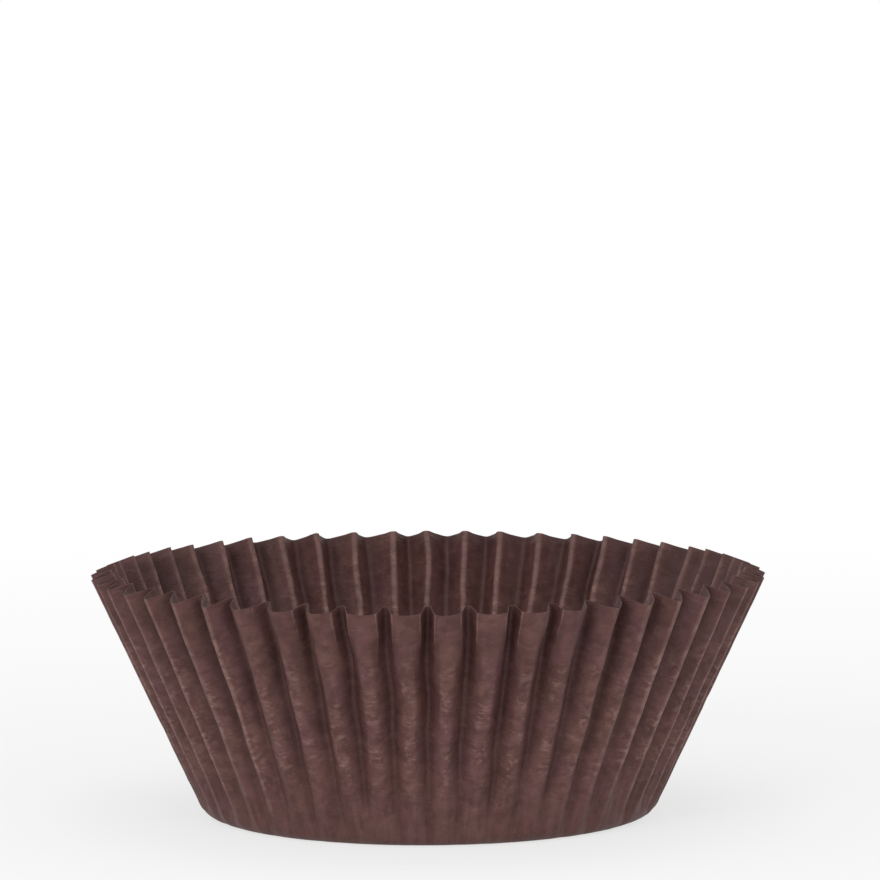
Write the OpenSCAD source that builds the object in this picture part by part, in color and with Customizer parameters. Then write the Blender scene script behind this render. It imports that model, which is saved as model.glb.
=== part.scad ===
// Cupcake liner: one disc of greaseproof paper pressed into a pleated cup.
// Lengths are in millimetres. The flat bottom rests on z = 0 and the cup's axis is Z.
// Paper hardly stretches, so the pleats take up the paper that the cup's girth leaves spare.

/* [Cup] */
// Diameter of the bottom, out to where the line of the wall would meet it
base_d = 51; // [44:0.5:58]
// Diameter of the rim over the ridges of the pleats
rim_d = 76.5; // [66:0.5:88]
// Height of the ridges at the rim
rim_h = 27; // [20:0.5:34]
// Outer radius of the corner that rolls the bottom up into the wall
corner_r = 2.3; // [1.5:0.1:4]

/* [Pleats] */
// Pleats round the wall, an even number so that ridges lie opposite each other
pleats = 50; // [36:2:60]
// Fullness of a pleat's flanks, from 1, a plain zigzag, to 2, a round arch
fullness = 1.3; // [1.1:0.1:2]
// Fullness at the rim, where the ridges are pressed flatter and the valleys narrower
rim_fullness = 2.4; // [1.1:0.1:3]
// Percent by which the warm dies stretch the paper at the rim
stretch = 4; // [0:1:6]

/* [Paper] */
// Thickness of the paper
paper_t = 0.08; // [0.06:0.01:0.16]

/* [Smoothness] */
// Flat strips across one pleat, ridge to ridge, an even number
strips = 6; // [4:2:8]
// Rows of facets up the corner
corner_rows = 3; // [2:1:4]
// Rows of facets up the wall
wall_rows = 5; // [3:1:6]

/* [Hidden] */
paper_colour = [0.33, 0.23, 0.21];

// The ridge's line, seen from the side: bottom, corner arc, straight wall
wall_lean = atan((rim_d - base_d) / 2 / rim_h);
corner_turn = 90 - wall_lean;
corner_setback = corner_r * tan(corner_turn / 2);
bottom_r = base_d / 2 - corner_setback;
corner_run = corner_r * corner_turn * PI / 180;
wall_run = rim_h / cos(wall_lean) - corner_setback;

// Rows crowd towards the corner, where the pleats deepen fastest
row_crowding = 1.4;
rows = [
    for (i = [0:corner_rows]) corner_run * i / corner_rows,
    for (i = [1:wall_rows]) corner_run + wall_run * pow(i / wall_rows, row_crowding)
];
last_row = len(rows) - 1;

pitch_angle = 360 / pleats;
around = pleats * strips;

// Closeness to which a pleat's depth is worked out
depth_tolerance = 0.0001;

// Slope of the ridge's line at a distance run along the paper from the bottom's edge
function slope(run) = min(run / corner_run, 1) * corner_turn;

// Radius and height of the ridge's line at run
function ridge(run) =
    let (
        arc = slope(run),
        straight = max(run - corner_run, 0)
    )
    [
        bottom_r + corner_r * sin(arc) + straight * cos(arc),
        corner_r * (1 - cos(arc)) + straight * sin(arc)
    ];

// Share of the way that the ridges have been flattened at run, over the top of the wall only
flattened_from = 0.7;
function flattened(run) = max(run / (corner_run + wall_run) - flattened_from, 0) / (1 - flattened_from);

// How far the paper has dropped from ridge to valley, 0 to 1, at run and at a phase of the pleat
function drop(run, phase) =
    pow(2 * min(phase, 1 - phase), fullness + (rim_fullness - fullness) * flattened(run));

// Point of the outer face: the paper sinks square to the ridge's line, inwards and upwards
function pleat_point(run, phase, depth, pleat = 0) =
    let (
        arc = slope(run),
        top = ridge(run),
        sunk = depth * drop(run, phase),
        radius = top[0] - sunk * sin(arc),
        angle = (pleat + phase) * pitch_angle
    )
    [radius * cos(angle), radius * sin(angle), top[1] + sunk * cos(arc)];

// Length of the paper across one pleat, ridge to ridge
function total(values, i = 0) = i == len(values) ? 0 : values[i] + total(values, i + 1);
function pleat_length(run, depth) = total([
    for (k = [1:strips])
        norm(pleat_point(run, k / strips, depth) - pleat_point(run, (k - 1) / strips, depth))
]);

// Depth at which the pleats hold as much paper as the flat disc, a little stretched, has at run
function pleat_depth(run) =
    let (
        spare = (bottom_r + run) / ridge(run)[0],
        stretched = 1 + stretch / 100 * run / (corner_run + wall_run),
        held = pleat_length(run, 0) * spare * stretched
    )
    run == 0 ? 0 : search_depth(run, held, 0, ridge(run)[0] * sin(pitch_angle));

function search_depth(run, held, low, high) =
    let (middle = (low + high) / 2)
    high - low < depth_tolerance ? middle
    : pleat_length(run, middle) < held ? search_depth(run, held, middle, high)
    : search_depth(run, held, low, middle);

// Ring of the outer face at run, with a ridge on the X axis
function outer_ring(run) =
    let (depth = pleat_depth(run))
    [for (p = [0:pleats - 1], k = [0:strips - 1]) pleat_point(run, k / strips, depth, p)];

// Step across the paper from the outer face, mitred where two strips meet
function unit(v) = v / norm(v);
function across_paper(here, before, after, along) =
    let (
        normal_before = unit(cross(along, here - before)),
        normal_after = unit(cross(along, after - here))
    )
    (normal_before + normal_after) * paper_t / (1 + normal_before * normal_after);

function inner_ring(outer, i) = [
    for (j = [0:around - 1])
        let (
            here = outer[i][j],
            before = outer[i][(j + around - 1) % around],
            after = outer[i][(j + 1) % around],
            along = outer[min(i + 1, last_row)][j] - outer[max(i - 1, 0)][j]
        )
        here + (i == 0 ? [0, 0, paper_t] : across_paper(here, before, after, along))
];

// Places in the list of points
function outer_at(i, j) = i * around + j % around;
function inner_at(i, j) = (last_row + 1 + i) * around + j % around;
outer_centre = 2 * (last_row + 1) * around;
inner_centre = outer_centre + 1;

// A quad as two triangles, split so that both flanks of a pleat fold alike
function split_quad(a, b, c, d, rising) = rising ? [[a, b, c], [a, c, d]] : [[a, b, d], [b, c, d]];
function first_flank(j) = j % strips < strips / 2;

module liner() {
    outer = [for (run = rows) outer_ring(run)];
    inner = [for (i = [0:last_row]) inner_ring(outer, i)];
    points = [
        for (ring = outer) each ring,
        for (ring = inner) each ring,
        [0, 0, 0],
        [0, 0, paper_t]
    ];
    steps = [0:around - 1];
    outer_wall = [
        for (i = [0:last_row - 1], j = steps)
            each split_quad(outer_at(i, j), outer_at(i + 1, j), outer_at(i + 1, j + 1),
                outer_at(i, j + 1), first_flank(j))
    ];
    inner_wall = [
        for (i = [0:last_row - 1], j = steps)
            each split_quad(inner_at(i, j + 1), inner_at(i + 1, j + 1), inner_at(i + 1, j),
                inner_at(i, j), !first_flank(j))
    ];
    rim_edge = [
        for (j = steps)
            each split_quad(outer_at(last_row, j), inner_at(last_row, j),
                inner_at(last_row, j + 1), outer_at(last_row, j + 1), first_flank(j))
    ];
    bottom = [for (j = steps) [outer_at(0, j), outer_at(0, j + 1), outer_centre]];
    floor_face = [for (j = steps) [inner_at(0, j + 1), inner_at(0, j), inner_centre]];
    color(paper_colour)
        polyhedron(points, concat(outer_wall, inner_wall, rim_edge, bottom, floor_face));
}

liner();
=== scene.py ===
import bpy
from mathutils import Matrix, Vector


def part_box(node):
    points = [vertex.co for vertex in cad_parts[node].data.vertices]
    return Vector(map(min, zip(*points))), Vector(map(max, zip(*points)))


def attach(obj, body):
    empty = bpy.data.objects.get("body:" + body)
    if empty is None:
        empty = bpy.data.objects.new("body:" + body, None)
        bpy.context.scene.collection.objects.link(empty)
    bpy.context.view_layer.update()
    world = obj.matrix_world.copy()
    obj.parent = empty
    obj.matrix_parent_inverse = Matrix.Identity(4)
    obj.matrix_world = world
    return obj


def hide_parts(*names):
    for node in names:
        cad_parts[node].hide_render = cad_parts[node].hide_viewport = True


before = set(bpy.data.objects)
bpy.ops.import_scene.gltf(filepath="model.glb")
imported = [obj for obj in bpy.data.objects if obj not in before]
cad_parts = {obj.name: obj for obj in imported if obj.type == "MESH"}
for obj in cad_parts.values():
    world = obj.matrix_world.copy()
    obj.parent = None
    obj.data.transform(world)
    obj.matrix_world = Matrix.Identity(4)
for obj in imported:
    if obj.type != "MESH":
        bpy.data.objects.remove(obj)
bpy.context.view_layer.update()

# The camera stands in front of the liner and a little above it, behind a long lens.
# Its distance, height and tilt are those from which the photograph was taken.
import math

import bpy
from mathutils import Matrix

CAMERA_DISTANCE = 0.640
CAMERA_HEIGHT = 0.1031
CAMERA_ASIDE = 0.00145
CAMERA_TILT = math.radians(5.43)
CAMERA_ROLL = math.radians(-0.25)
SENSOR = 36.0
LENS = 232.8
NEAREST_SEEN = 0.01
FARTHEST_SEEN = 50.0

camera_data = bpy.data.cameras.new("camera")
camera_data.sensor_width = SENSOR
camera_data.lens = LENS
camera_data.clip_start = NEAREST_SEEN
camera_data.clip_end = FARTHEST_SEEN
camera = bpy.data.objects.new("camera", camera_data)
bpy.context.scene.collection.objects.link(camera)
camera.matrix_world = (
    Matrix.Translation((CAMERA_ASIDE, -CAMERA_DISTANCE, CAMERA_HEIGHT))
    @ Matrix.Rotation(math.pi / 2 - CAMERA_TILT, 4, "X")
    @ Matrix.Rotation(CAMERA_ROLL, 4, "Z")
)
bpy.context.scene.camera = camera

# The liner is one disc of greaseproof paper, dyed dark brown right through and cut round.
# Fluted dies press it into a cup: the bottom stays flat, the corner rolls, the wall pleats.
import random

import bmesh
import numpy as np
from mathutils import Vector, noise

PLEATS = 50
PAPER = 0.00008
BOTTOM_R = 0.0255
RIDGE_H = 0.027
CORNER_R = 0.0023
STRETCH = 0.04
CORNER_ROWS = 5
WALL_ROWS = 25
ROW_CROWDING = 1.2
BOTTOM_RINGS = 3

# The ridge's line from the side: flat bottom, corner arc, straight leaning wall
rim_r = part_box("liner")[1].x
corner_turn = math.atan2(RIDGE_H, rim_r - BOTTOM_R)
corner_setback = CORNER_R * math.tan(corner_turn / 2)
flat_r = BOTTOM_R - corner_setback
corner_run = CORNER_R * corner_turn
wall_run = math.hypot(RIDGE_H, rim_r - BOTTOM_R) - corner_setback
whole_run = corner_run + wall_run


def ridge_line(run):
    """Radius, height and slope of the ridges, at a run along the paper from the flat bottom."""
    slope = min(run / corner_run, 1) * corner_turn
    straight = max(run - corner_run, 0)
    radius = flat_r + CORNER_R * math.sin(slope) + straight * math.cos(slope)
    height = CORNER_R * (1 - math.cos(slope)) + straight * math.sin(slope)
    return radius, height, slope


def smooth(value, start, end):
    """0 below start and 1 above end, smooth between."""
    share = np.clip((value - start) / (end - start), 0, 1)
    return share * share * (3 - 2 * share)


# Half a pleat is a strip of paper that lies nearly flat on the ridge, turns down into a steep
# flank and flattens out again in the valley. Paper hardly stretches, so the flank gets as
# steep as it takes for the strip to fit in the cup's girth at its level. The strip's facets
# end at these shares of its length.
near_ridge = [0, 0.06, 0.12, 0.18, 0.25, 0.34, 0.41]
near_valley = [0.46, 0.51, 0.57, 0.64, 0.71, 0.82, 0.92, 1]
strip_ends = np.array(near_ridge + near_valley)
strip_widths = np.diff(strip_ends)
strip_middles = (strip_ends[1:] + strip_ends[:-1]) / 2
FLANK_STRIPS = len(strip_widths)

# Four sections of half a pleat. The numbers are the tilt of its top, the top's width, the tilt
# of the shoulder beside it, where the shoulder ends, and where the flank's full tilt starts.
# Tilts are shares of the flank's, and the rest are shares of the strip. The creased section is
# nearly a zigzag and goes over to the peaked one near the rim. The blunt one has a broad top
# and goes over to the boxed one.
CREASED = np.array([0.74, 0.13, 0.92, 0.55, 0.72])
PEAKED = np.array([0.60, 0.10, 0.80, 0.52, 0.68])
BLUNT = np.array([0.26, 0.19, 0.92, 0.55, 0.72])
BOXED = np.array([0.14, 0.21, 0.30, 0.43, 0.49])
RIM_SECTION_FROM = 0.64
RIM_SECTION_FULLY = 1.04
TOP_BEFORE_SHOULDER = 0.03
SHOULDER_TURN = 0.09
VALLEY_FROM = 0.90
ANGLE_TOLERANCE = 1e-6
SMALLEST_DROP = 1e-9


def stretched(run):
    """Radius of the flat disc at this level, once the dies have stretched it a little."""
    return (flat_r + run) * (1 + STRETCH * run / whole_run)


def half_pleat(run, section, rim_section):
    """Shares of width and depth covered from ridge to valley, and the bends in radians per mm."""
    gone_over = smooth(run / whole_run, RIM_SECTION_FROM, RIM_SECTION_FULLY)
    blend = section + (rim_section - section) * gone_over
    top_tilt, top_width, shoulder_tilt, shoulder_end, flank_start = blend
    shoulder_from = top_width - TOP_BEFORE_SHOULDER
    shoulder_to = top_width + SHOULDER_TURN
    turned = top_tilt * np.clip(strip_middles / top_width, 0, 1)
    turned += (shoulder_tilt - top_tilt) * smooth(strip_middles, shoulder_from, shoulder_to)
    turned += (1 - shoulder_tilt) * smooth(strip_middles, shoulder_end, flank_start)
    turned *= 1 - smooth(strip_middles, VALLEY_FROM, 1)
    girth_share = ridge_line(run)[0] / stretched(run)
    gentle = 0.0
    steep = math.pi / 2
    while steep - gentle > ANGLE_TOLERANCE:
        angle = (gentle + steep) / 2
        if (np.cos(angle * turned) * strip_widths).sum() > girth_share:
            gentle = angle
        else:
            steep = angle
    covered = np.append(0, np.cumsum(np.cos(gentle * turned) * strip_widths))
    dropped = np.append(0, np.cumsum(np.sin(gentle * turned) * strip_widths))
    turns = np.diff(gentle * np.concatenate([-turned[:1], turned, -turned[-1:]]))
    widths = np.concatenate([strip_widths[:1], strip_widths, strip_widths[-1:]])
    half_length = math.pi * stretched(run) / PLEATS
    bends = turns / ((widths[1:] + widths[:-1]) / 2) / half_length
    return covered / covered[-1], dropped / max(dropped[-1], SMALLEST_DROP), bends / 1000


# No two pleats are quite alike: folds wander and waver sideways, and towards the rim each
# ridge sinks a little and its top tilts to one side. The ridges in front are blunt, and the
# others creased. Wander and waver are shares of a pleat, and wander grows up the wall.
RIDGE_WANDER = 0.035
VALLEY_WANDER = 0.045
WANDER_AT_CORNER = 0.4
LEAST_SINK = 0.00003
MOST_SINK = 0.00013
TOP_SKEW = 0.00016
BLUNT_FROM = 0.76
BLUNT_FULLY = 0.95
BLUNTNESS_SPREAD = 0.2
WAVER = 0.07
WAVER_LENGTH = 0.0055
WAVER_APART = 7.3
chance = random.Random(50)
ridge_wander = np.array([chance.gauss(0, RIDGE_WANDER) for _ in range(PLEATS)])
valley_wander = np.array([chance.gauss(0, VALLEY_WANDER) for _ in range(PLEATS)])
ridge_sink = np.array([chance.uniform(LEAST_SINK, MOST_SINK) for _ in range(PLEATS)])
top_skew = np.array([chance.gauss(0, TOP_SKEW) for _ in range(PLEATS)])
ridge_azimuths = np.arange(PLEATS) * 2 * math.pi / PLEATS
bluntness = smooth(-np.sin(ridge_azimuths), BLUNT_FROM, BLUNT_FULLY)
bluntness += [chance.uniform(-BLUNTNESS_SPREAD, BLUNTNESS_SPREAD) for _ in range(PLEATS)]
bluntness = np.clip(bluntness, 0, 1)


def up_again(shares):
    """The way up out of each valley: the next ridge's row of shares, from valley to ridge."""
    return np.roll(shares, -1, axis=0)[:, -2::-1]


def mirrored(shares):
    """From each ridge's row of shares, ridge to valley, the rows that go on up to the next."""
    return np.concatenate([shares, up_again(shares)], axis=1)


def pleat_angles(run, across):
    """Angles across each pleat from its ridge over its valley to the next ridge, a row each."""
    # Each fold wavers along its own row of the noise, WAVER_APART from the next
    growth = WANDER_AT_CORNER + (1 - WANDER_AT_CORNER) * (run / whole_run) ** 3
    along = run / WAVER_LENGTH
    waver = np.array([noise.noise((WAVER_APART * k, along, 0)) for k in range(2 * PLEATS)])
    ridges = np.arange(PLEATS) + ridge_wander * growth + WAVER * waver[:PLEATS]
    valleys = np.arange(PLEATS) + 0.5 + valley_wander * growth + WAVER * waver[PLEATS:]
    following = np.append(ridges[1:], ridges[0] + PLEATS)
    down = ridges[:, None] + (valleys - ridges)[:, None] * across
    up = following[:, None] + (valleys - following)[:, None] * up_again(across)
    return np.concatenate([down, up], axis=1) * (2 * math.pi / PLEATS)


# Towards the rim the valleys lean in a little, so that their tips stay low
VALLEY_LEAN = math.radians(4)


def folded(run, angles, across, drops, depths):
    """Points of the outer face at run, sunk below the ridge's line by each pleat's depth."""
    radius, height, slope = ridge_line(run)
    level = run / whole_run
    down = np.arange(2 * FLANK_STRIPS + 1) <= FLANK_STRIPS
    lowered = np.where(down, ridge_sink[:, None], np.roll(ridge_sink, -1)[:, None]) * level
    tilt = np.where(down, top_skew[:, None], -np.roll(top_skew, -1)[:, None]) * mirrored(across)
    sunk = depths[:, None] * drops + (lowered + tilt * level ** 2) * (1 - drops)
    reach = radius - sunk * math.sin(slope + VALLEY_LEAN * level)
    rise = height + sunk * math.cos(slope + VALLEY_LEAN * level)
    return np.stack([reach * np.cos(angles), reach * np.sin(angles), rise], axis=2)


# The sharper a fold, the paler it is, partly from wear and partly as painted highlight, and the
# deeper a groove, the more painted shade it gets. The folds of blunt ridges are less pale, except
# near the rim, where painted highlight catches their corners. For the painted shade, grooves between
# creased ridges count as shallower than they are, and those round the corner as deeper.
BLUNT_LESS_PALE = 0.5
RIM_HIGHLIGHT_FROM = 0.70
RIM_HIGHLIGHT_FULLY = 0.95
CREASED_SHADE = 0.45
CORNER_SHADE_DEPTH = 0.0007
CORNER_SHADE_DEPTH_FROM = 0.2
PLEATED_FULLY = 1.5
DEPTH_TOLERANCE = 1e-7


def pressed(run):
    """One level of the paper in the cup, each pleat as deep as its share of the disc asks.

    It gives each point's place, its bend, how deep it lies in its groove and how deep that is.
    """
    creased = half_pleat(run, CREASED, PEAKED)
    blunt = half_pleat(run, BLUNT, BOXED)
    across, dropped, bends = [
        sharp + (rounded - sharp) * bluntness[:, None] for sharp, rounded in zip(creased, blunt)
    ]
    # Near the rim the blunt ridges' folds get their full paleness, as painted highlight on their
    # corners
    rim_highlight = smooth(run / whole_run, RIM_HIGHLIGHT_FROM, RIM_HIGHLIGHT_FULLY)
    bends = bends * (1 - BLUNT_LESS_PALE * bluntness[:, None] * (1 - rim_highlight))
    drops = mirrored(dropped)
    angles = pleat_angles(run, across)
    paper_length = 2 * math.pi * stretched(run) / PLEATS
    shallow = np.zeros(PLEATS)
    deep = np.full(PLEATS, paper_length)
    while (deep - shallow).max() > DEPTH_TOLERANCE:
        depths = (shallow + deep) / 2
        steps = np.diff(folded(run, angles, across, drops, depths), axis=1)
        too_short = np.linalg.norm(steps, axis=2).sum(axis=1) < paper_length
        shallow = np.where(too_short, depths, shallow)
        deep = np.where(too_short, deep, depths)
    # Round the corner, what little paper is spare goes into creases too fine to see
    shallow = shallow * smooth(run / corner_run, 0, PLEATED_FULLY)
    places = folded(run, angles, across, drops, shallow)[:, :-1].reshape(-1, 3)
    bends = mirrored(bends)[:, :-1].ravel()
    # The groove depths given here set only the painted shade in the grooves, so they are scaled and
    # given a least depth
    shade = CREASED_SHADE + (1 - CREASED_SHADE) * bluntness[:, None]
    shade = mirrored(np.tile(shade, FLANK_STRIPS + 1))
    least_depth = CORNER_SHADE_DEPTH * smooth(run / corner_run, CORNER_SHADE_DEPTH_FROM, 1)
    seen_depths = np.maximum(shallow, least_depth)
    depths = (seen_depths[:, None] * shade)[:, :-1]
    return places, bends, (depths * drops[:, :-1]).ravel(), depths.ravel()


# The flat disc: a circle at the edge of the bottom, grown outwards row by row to the cut
round_points = PLEATS * 2 * FLANK_STRIPS
rows = [corner_run * i / CORNER_ROWS for i in range(CORNER_ROWS + 1)]
rows += [corner_run + wall_run * (i / WALL_ROWS) ** ROW_CROWDING for i in range(1, WALL_ROWS + 1)]

paper = bmesh.new()
bend = paper.verts.layers.float.new("bend")
groove = paper.verts.layers.float.new("groove")
pleat_depth = paper.verts.layers.float.new("pleat_depth")
sheet_map = paper.loops.layers.uv.new("sheet")
bmesh.ops.create_circle(paper, segments=round_points, radius=flat_r)
circle = paper.edges[:]


def turn_of(point):
    """How far round from the X axis a point lies, in radians."""
    return round(math.atan2(point.co.y, point.co.x) % (2 * math.pi), 6)


# The circle's points go to where the facets of its pleats will meet
half = strip_ends / 2
across_pleat = np.concatenate([half, 1 - half[-2:0:-1]])
turns_round = (np.arange(PLEATS)[:, None] + across_pleat).ravel() / PLEATS
for point, turn in zip(sorted(paper.verts, key=turn_of), turns_round):
    point.co = flat_r * Vector((math.cos(turn * 2 * math.pi), math.sin(turn * 2 * math.pi), 0))


def grown(ring, scale):
    """A new ring of the disc, scaled from the one before and joined to it by faces."""
    made = bmesh.ops.extrude_edge_only(paper, edges=ring)["geom"]
    points = {part for part in made if isinstance(part, bmesh.types.BMVert)}
    bmesh.ops.scale(paper, verts=list(points), vec=(scale, scale, 1))
    return [edge for edge in paper.edges if edge.verts[0] in points and edge.verts[1] in points]


def in_order(ring):
    """The points of a ring, counted round from the X axis."""
    return sorted({point for edge in ring for point in edge.verts}, key=turn_of)


rings = [in_order(circle)]
ring = circle
for before, run in zip(rows, rows[1:]):
    ring = grown(ring, (flat_r + run) / (flat_r + before))
    rings.append(in_order(ring))

# Inwards, the bottom is a few rings round one flat face
ring = circle
for i in range(BOTTOM_RINGS, 0, -1):
    ring = grown(ring, i / (i + 1))
bmesh.ops.contextual_create(paper, geom=ring)

# Where each bit of paper lay on the flat disc, in millimetres, for its fibres and cloudiness
for face in paper.faces:
    for loop in face.loops:
        loop[sheet_map].uv = loop.vert.co.xy * 1000

# Pressing: every point of the corner and the wall moves to its place in the pleats
for run, ring in zip(rows, rings):
    for point, place, sharpness, sunk, depth in zip(ring, *pressed(run)):
        point.co = place
        point[bend] = sharpness
        point[groove] = sunk * 1000
        point[pleat_depth] = depth * 1000

# The faces look outwards, so the bottom's, which is the largest, looks down
bmesh.ops.recalc_face_normals(paper, faces=paper.faces[:])
if max(paper.faces, key=lambda face: face.calc_area()).normal.z > 0:
    bmesh.ops.reverse_faces(paper, faces=paper.faces[:])
paper.normal_update()

# Small buckles that pressing leaves in the paper, inwards only
BUCKLE = 0.00005
BUCKLES_PER_M = 620
CRUMPLES_PER_M = 1400
CRUMPLE_SHARE = 0.5
BUCKLED_FROM = -0.4
for run, ring in zip(rows[1:], rings[1:]):
    for point in ring:
        crumple = CRUMPLE_SHARE * noise.noise(point.co * CRUMPLES_PER_M)
        buckle = max(noise.noise(point.co * BUCKLES_PER_M) + crumple - BUCKLED_FROM, 0)
        point.co -= point.normal * BUCKLE * buckle * min(run / corner_run, 1)

# The paper gets its thickness inwards. Its inner face has ridges where the outer has valleys, and
# their folds are painted less pale, as wear and painted highlight.
INNER_FOLD_PALENESS = 0.72
SHARP_EDGE = math.radians(65)
outside = set(paper.verts)
bmesh.ops.solidify(paper, geom=paper.faces[:], thickness=PAPER)
for point in paper.verts:
    if point not in outside:
        point[bend] = -point[bend] * INNER_FOLD_PALENESS
        # The inner face's painted shade lies in its own grooves, behind the outer ridges
        point[groove] = point[pleat_depth] - point[groove]
for edge in paper.edges:
    edge.smooth = edge.calc_face_angle(0) < SHARP_EDGE
for face in paper.faces:
    face.smooth = True

liner_mesh = bpy.data.meshes.new("paper_liner")
paper.to_mesh(liner_mesh)
paper.free()
liner = bpy.data.objects.new("paper_liner", liner_mesh)
bpy.context.scene.collection.objects.link(liner)


class Wire:
    """A socket of a material's nodes. Arithmetic on it adds Math nodes, and node() any other."""

    def __init__(self, tree, socket=None):
        self.tree = tree
        self.socket = socket

    def node(self, kind, settings, inputs, output=0):
        """A node of any kind: its settings first, then values or wires for its sockets."""
        made = self.tree.nodes.new(kind)
        for name, value in settings.items():
            setattr(made, name, value)
        for name, value in inputs.items():
            if isinstance(value, Wire):
                self.tree.links.new(value.socket, made.inputs[name])
            else:
                made.inputs[name].default_value = value
        return Wire(self.tree, made.outputs[output])

    def math(self, operation, left, right):
        """A Math node on two values or wires."""
        return self.node("ShaderNodeMath", {"operation": operation}, {0: left, 1: right})

    def __add__(self, other):
        return self.math("ADD", self, other)

    def __mul__(self, other):
        return self.math("MULTIPLY", self, other)

    def __sub__(self, other):
        return self.math("SUBTRACT", self, other)

    def __rsub__(self, other):
        return self.math("SUBTRACT", other, self)

    __radd__ = __add__
    __rmul__ = __mul__


SCREEN_GAMMA = 2.2


def linear(red, green, blue):
    """A colour as seen on a screen, 0 to 255, as the linear light that a shader takes."""
    return tuple((value / 255) ** SCREEN_GAMMA for value in (red, green, blue)) + (1,)


PAPER_BROWN = linear(102, 71, 66)
PAPER_MAUVE = linear(99, 67, 68)
PAPER_DARK = linear(77, 51, 47)
FIBRE_PALE = linear(132, 102, 96)
# The colour that the painted shade multiplies in
PAINTED_SHADE_TINT = linear(150, 140, 138)
PAPER_ROUGHNESS = 0.58
PAPER_SPECULAR = 0.25

paper_finish = bpy.data.materials.new("greaseproof_paper")
paper_finish.use_nodes = True
shader = paper_finish.node_tree.nodes["Principled BSDF"]
paper_wires = Wire(paper_finish.node_tree)

sheet = paper_wires.node("ShaderNodeUVMap", {"uv_map": "sheet"}, {})
groove_of = paper_wires.node("ShaderNodeAttribute", {"attribute_name": "groove"}, {}, "Fac")
bend_of = paper_wires.node("ShaderNodeAttribute", {"attribute_name": "bend"}, {}, "Fac")

# Places outwards are millimetres on the flat disc, whose bottom ends at 24, corner at 27 and
# wall at 55
HALF_WAY_UP = 40
outwards = sheet.node("ShaderNodeVectorMath", {"operation": "LENGTH"}, {0: sheet}, "Value")


def mottle(size_mm, detail, distortion=0.0):
    """Noise on the flat sheet whose patches are about size_mm across, from 0 to 1."""
    return sheet.node(
        "ShaderNodeTexNoise",
        {"noise_dimensions": "2D"},
        {"Vector": sheet, "Scale": 1 / size_mm, "Detail": detail, "Distortion": distortion},
    )


def above(value, start, end):
    """0 below start and 1 above end, smooth between."""
    return value.node(
        "ShaderNodeMapRange",
        {"interpolation_type": "SMOOTHSTEP"},
        {"Value": value, "From Min": start, "From Max": end},
    )


def creases(length_mm, height_mm):
    """Noise with patches length_mm round the cup, half-way up its wall, and height_mm up it."""
    round_the_cup = sheet.node("ShaderNodeVectorMath", {"operation": "NORMALIZE"}, {0: sheet})
    spread = sheet.node(
        "ShaderNodeVectorMath",
        {"operation": "SCALE"},
        {0: round_the_cup, "Scale": HALF_WAY_UP / length_mm},
    )
    level = sheet.node("ShaderNodeCombineXYZ", {}, {"Z": outwards * (1 / height_mm)})
    place = sheet.node("ShaderNodeVectorMath", {"operation": "ADD"}, {0: spread, 1: level})
    return sheet.node("ShaderNodeTexNoise", {}, {"Vector": place, "Scale": 1.0, "Detail": 2.0})


# The wall is cloudier than the bottom, because the dies rub it
CLOUD_SHARE = 0.35
BLOTCH_SHARE = 0.40
BOTTOM_CLOUDINESS = 0.25
pressed_part = above(outwards, 24, 30)
clouds = above(mottle(4.0, 2), 0.35, 0.65)
blotches = above(mottle(1.3, 3), 0.32, 0.68)
cloudiness = clouds * CLOUD_SHARE + blotches * BLOTCH_SHARE - (CLOUD_SHARE + BLOTCH_SHARE) / 2
patchy = cloudiness * (pressed_part * (1 - BOTTOM_CLOUDINESS) + BOTTOM_CLOUDINESS) + 0.5

# Pale fibres lie all over, and short dashes run across the pleats
curls = mottle(1.1, 2, 0.6)
fibres = above(curls, 0.44, 0.49) * (1 - above(curls, 0.49, 0.54)) * above(mottle(0.9, 1), 0.50, 0.60)
dashes = above(creases(1.6, 0.7), 0.50, 0.72) * pressed_part

# Fine gathers run up the corner, where the pleats begin
corner_part = above(outwards, 23.5, 26) * (1 - above(outwards, 28, 36))
gathers = above(creases(1.1, 6.0), 0.42, 0.64) * corner_part

# Sharp folds are pale, partly from wear and partly as painted highlight, and the ridge tops half-way
# up the wall carry pale blotches and small crinkles across them, partly wear and partly painted light
# on the tops
FOLD_WEAR_AND_HIGHLIGHT = 0.60
RIDGE_BLOTCHES = 0.20
RIDGE_CRINKLES = 0.80
folds = above(bend_of, 0.8, 2.1)
crinkles = above(creases(0.8, 0.42), 0.50, 0.60) * above(mottle(2.2, 1), 0.35, 0.60)
middle_part = above(outwards, 29, 36) * (1 - above(outwards, 44, 53))
# The ridge tops half-way up the wall, made paler partly as wear and partly as painted light
ridge_tops_worn_and_lit = (1 - above(groove_of, 0.0, 0.6)) * middle_part
fold_wear_and_highlight = folds * (1 + blotches + crinkles) * FOLD_WEAR_AND_HIGHLIGHT
wear_and_highlight = fold_wear_and_highlight + ridge_tops_worn_and_lit * (blotches * RIDGE_BLOTCHES + crinkles * RIDGE_CRINKLES)

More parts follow.
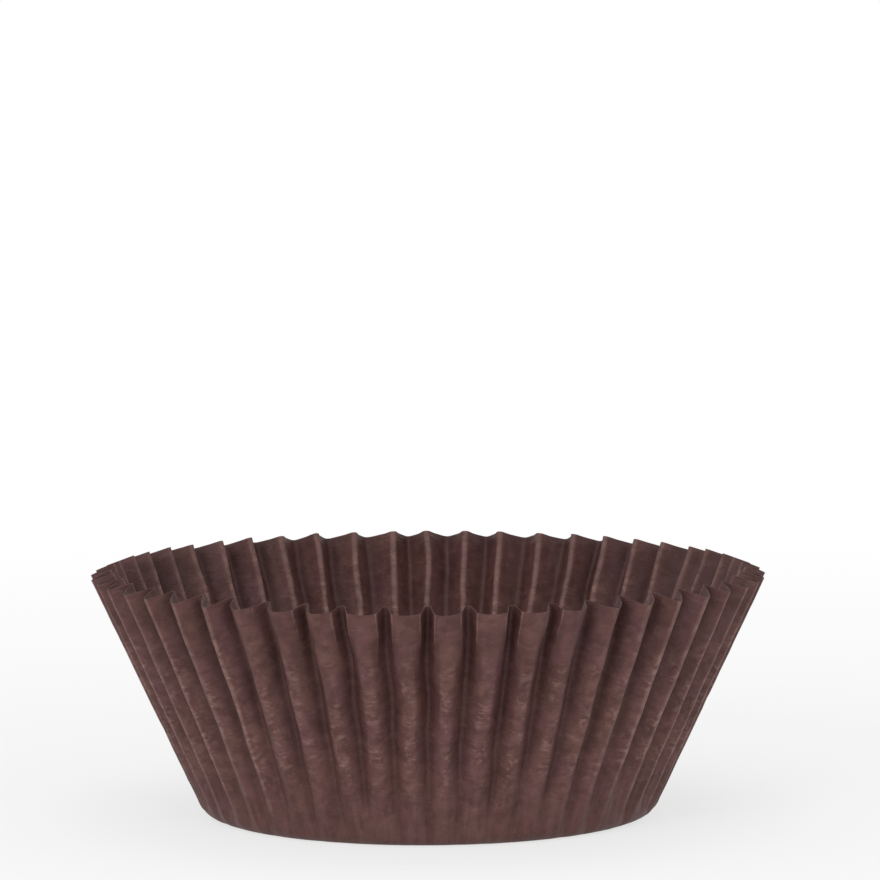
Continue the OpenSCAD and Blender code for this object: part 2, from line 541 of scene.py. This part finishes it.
# The dye is brown, turns to mauve in wide patches and is clouded with a darker brown. Pale marks lie
# on it, with painted highlight on folds and ridge tops. Painted shade darkens it in the grooves and
# up the wall towards the rim, and it is darker at the corner too.
FIBRE_PALENESS = 0.16
DASH_PALENESS = 0.10
GATHER_PALENESS = 0.16
WEAR_AND_HIGHLIGHT_PALENESS = 0.50
GROOVE_PAINTED_SHADE = 0.42
RIM_PAINTED_SHADE = 0.15
CORNER_DARKNESS = 0.08
hue = sheet.node(
    "ShaderNodeMix",
    {"data_type": "RGBA"},
    {"Factor": above(mottle(7.0, 1), 0.30, 0.70), "A": PAPER_BROWN, "B": PAPER_MAUVE},
    "Result",
)
dye = sheet.node(
    "ShaderNodeMix",
    {"data_type": "RGBA"},
    {"Factor": patchy, "A": PAPER_DARK, "B": hue},
    "Result",
)
marks = fibres * FIBRE_PALENESS + dashes * DASH_PALENESS + gathers * GATHER_PALENESS
# The pale marks, and the wear and painted highlight on folds and ridge tops, mix in here
tint = sheet.node(
    "ShaderNodeMix",
    {"data_type": "RGBA"},
    {"Factor": marks + wear_and_highlight * WEAR_AND_HIGHLIGHT_PALENESS, "A": dye, "B": FIBRE_PALE},
    "Result",
)
# Painted shade in the grooves, deeper ones darker
painted_groove_shade = above(groove_of, 0.1, 1.1) * GROOVE_PAINTED_SHADE
# Painted shade also darkens the wall towards the rim, and the corner is darker too, all with the same
# tint
painted_shade_and_corner = painted_groove_shade + above(outwards, 30, 56) * RIM_PAINTED_SHADE + corner_part * CORNER_DARKNESS
shaded = sheet.node(
    "ShaderNodeMix",
    {"data_type": "RGBA", "blend_type": "MULTIPLY"},
    {"Factor": painted_shade_and_corner, "A": tint, "B": PAINTED_SHADE_TINT},
    "Result",
)

# Grain, fibres, dashes and gathers stand up a little, too fine for the mesh
GRAIN_RELIEF = 0.3
FIBRE_RELIEF = 0.2
GATHER_RELIEF = 0.8
RELIEF_STRENGTH = 0.6
RELIEF_HEIGHT = 0.00007
grain = mottle(0.25, 3)
roughened = grain * GRAIN_RELIEF + fibres * FIBRE_RELIEF + dashes + gathers * GATHER_RELIEF
relief = sheet.node(
    "ShaderNodeBump",
    {},
    {"Height": roughened, "Strength": RELIEF_STRENGTH, "Distance": RELIEF_HEIGHT},
)
paper_finish.node_tree.links.new(shaded.socket, shader.inputs["Base Color"])
paper_finish.node_tree.links.new(relief.socket, shader.inputs["Normal"])
shader.inputs["Roughness"].default_value = PAPER_ROUGHNESS
shader.inputs["Specular IOR Level"].default_value = PAPER_SPECULAR
liner.data.materials.append(paper_finish)

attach(liner, "root")
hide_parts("liner")

# The table is a wide pale sheet that runs out of sight. Seen by the camera it is nearly
# white, as the photograph's ground is, and it keeps the liner's soft shadow. It lies a hair
# below the liner, so that their faces don't share a plane.
TABLE_SIZE = 60.0
TABLE_GAP = 0.00002
TABLE_TONE = linear(248, 248, 248)
TABLE_ROUGHNESS = 0.9
TABLE_SPECULAR = 0.1
WHITENING = 0.68
WHITE_FROM = 0.05
WHITE_BEYOND = 0.30

table_bm = bmesh.new()
bmesh.ops.create_grid(table_bm, x_segments=1, y_segments=1, size=TABLE_SIZE / 2)
bmesh.ops.translate(table_bm, verts=table_bm.verts, vec=(0, 0, -TABLE_GAP))
table_mesh = bpy.data.meshes.new("table")
table_bm.to_mesh(table_mesh)
table_bm.free()
table = bpy.data.objects.new("table", table_mesh)
bpy.context.scene.collection.objects.link(table)

table_finish = bpy.data.materials.new("white_table")
table_finish.use_nodes = True
table_wires = Wire(table_finish.node_tree)
table_shader = table_finish.node_tree.nodes["Principled BSDF"]
table_shader.inputs["Base Color"].default_value = TABLE_TONE
table_shader.inputs["Roughness"].default_value = TABLE_ROUGHNESS
table_shader.inputs["Specular IOR Level"].default_value = TABLE_SPECULAR


def seen_rays(wires):
    """1 for rays to the camera, straight, mirrored or through glass, and 0 for all others."""
    straight = wires.node("ShaderNodeLightPath", {}, {}, "Is Camera Ray")
    glossy = wires.node("ShaderNodeLightPath", {}, {}, "Is Glossy Ray")
    through = wires.node("ShaderNodeLightPath", {}, {}, "Is Transmission Ray")
    return straight + glossy + through


spot = table_wires.node("ShaderNodeTexCoord", {}, {}, "Object")
away = table_wires.node("ShaderNodeVectorMath", {"operation": "LENGTH"}, {0: spot}, "Value")
far = above(away, WHITE_FROM, WHITE_BEYOND)
whiter = seen_rays(table_wires) * (far * (1 - WHITENING) + WHITENING)
glow = table_wires.node("ShaderNodeEmission", {}, {"Color": (1, 1, 1, 1), "Strength": 1.0})
lit = Wire(table_finish.node_tree, table_shader.outputs["BSDF"])
mixed = table_wires.node("ShaderNodeMixShader", {}, {0: whiter, 1: lit, 2: glow})
table_output = table_finish.node_tree.nodes["Material Output"]
table_finish.node_tree.links.new(mixed.socket, table_output.inputs["Surface"])
table.data.materials.append(table_finish)

# The light is soft and even: a surround that looks white and lights less than it looks, a
# broad lamp in front on the left, a weaker one in front on the right, and a faint one above.
SURROUND = 0.62
LINER_MIDDLE = Vector((0, 0, 0.013))
world = bpy.data.worlds.new("studio")
world.use_nodes = True
backdrop = world.node_tree.nodes["Background"]
strength = seen_rays(Wire(world.node_tree)) * (1 - SURROUND) + SURROUND
backdrop.inputs["Color"].default_value = (1, 1, 1, 1)
world.node_tree.links.new(strength.socket, backdrop.inputs["Strength"])
bpy.context.scene.world = world


def softbox(name, place, size, watts):
    """A square lamp of that size at place, facing the liner."""
    lamp_data = bpy.data.lights.new(name, "AREA")
    lamp_data.size = size
    lamp_data.energy = watts
    lamp = bpy.data.objects.new(name, lamp_data)
    bpy.context.scene.collection.objects.link(lamp)
    lamp.location = place
    lamp.rotation_euler = (LINER_MIDDLE - Vector(place)).to_track_quat("-Z", "Y").to_euler()


softbox("key_lamp", (-0.50, -0.82, 0.34), 0.5, 3.8)
softbox("fill_lamp", (0.46, -0.84, 0.30), 0.5, 2.0)
softbox("top_lamp", (0.0, 0.10, 1.0), 0.6, 1.0)

bpy.context.scene.view_settings.view_transform = "Standard"
